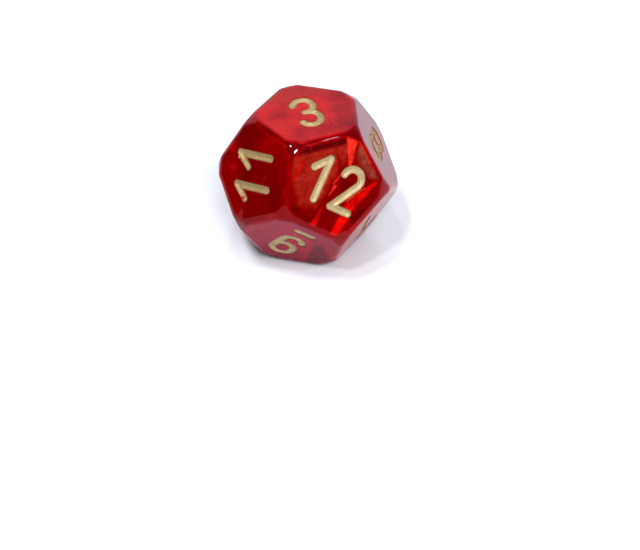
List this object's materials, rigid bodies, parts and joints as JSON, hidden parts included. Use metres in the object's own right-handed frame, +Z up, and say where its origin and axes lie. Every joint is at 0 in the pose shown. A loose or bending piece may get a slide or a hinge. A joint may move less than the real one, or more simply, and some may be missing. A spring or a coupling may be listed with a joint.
{
  "type": "polyhedral die",
  "caption": "Numbered dodecahedron gaming die in translucent swirled resin, with paint-filled engraved numerals on its faces.",
  "frame": {"origin": "middle of the face the die rests on, which carries the numeral 10", "axes": "-Z out of the resting face; +Z up through the face that carries the 3; -Y towards the side of the upper ring where the 12 is"},
  "size_m": [0.0214, 0.0218, 0.0185],
  "materials": {
    "resin": "polished translucent red resin with swirls of pearl pigment",
    "gold_paint": "satin pale gold metallic paint"
  },
  "bodies": {
    "root": {"die_body": "resin", "paint_one": "gold_paint", "paint_two": "gold_paint", "paint_three": "gold_paint", "paint_four": "gold_paint", "paint_five": "gold_paint", "paint_six": "gold_paint", "paint_seven": "gold_paint", "paint_eight": "gold_paint", "paint_nine": "gold_paint", "paint_six_underline": "gold_paint", "paint_nine_underline": "gold_paint", "paint_10_first_digit": "gold_paint", "paint_10_second_digit": "gold_paint", "paint_11_first_digit": "gold_paint", "paint_11_second_digit": "gold_paint", "paint_12_first_digit": "gold_paint", "paint_12_second_digit": "gold_paint"}
  },
  "joints": []
}
